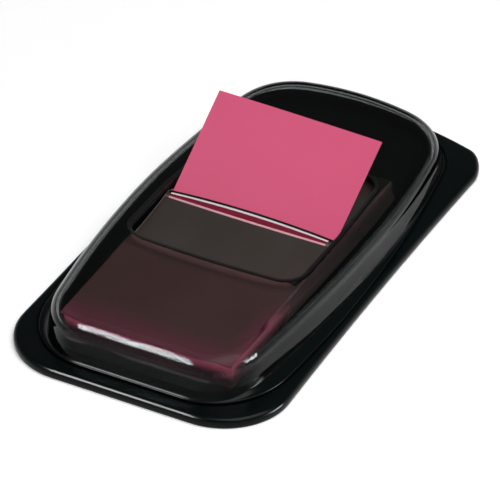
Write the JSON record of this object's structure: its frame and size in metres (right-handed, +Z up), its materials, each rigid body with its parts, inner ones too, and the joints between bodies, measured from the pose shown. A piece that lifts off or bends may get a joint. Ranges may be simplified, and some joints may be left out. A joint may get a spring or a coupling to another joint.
{
  "type": "index tab dispenser",
  "caption": "Flat desk dispenser of sticky index tabs: black base plate, smoked clear cover with a window, and a film-wrapped pad whose top tab stands out of a slit.",
  "frame": {"origin": "middle of the base plate's underside", "axes": "+Z up, +Y along the dispenser from its front edge to its rear, where the raised tab leans, +X to the right"},
  "size_m": [0.0408, 0.075, 0.014],
  "materials": {
    "black_plastic": "gloss, moulded",
    "smoked_plastic": "clear smoke-tinted, polished",
    "sleeve_film": "thin film, slightly milky",
    "tab_stack": "matt film edges, pink and clear",
    "tab_film": "matt pink film"
  },
  "bodies": {
    "root": {"base_plate": "black_plastic", "cover": "smoked_plastic", "film_sleeve": "sleeve_film", "tab_pad": "tab_stack", "raised_tab": "tab_film"}
  },
  "joints": []
}
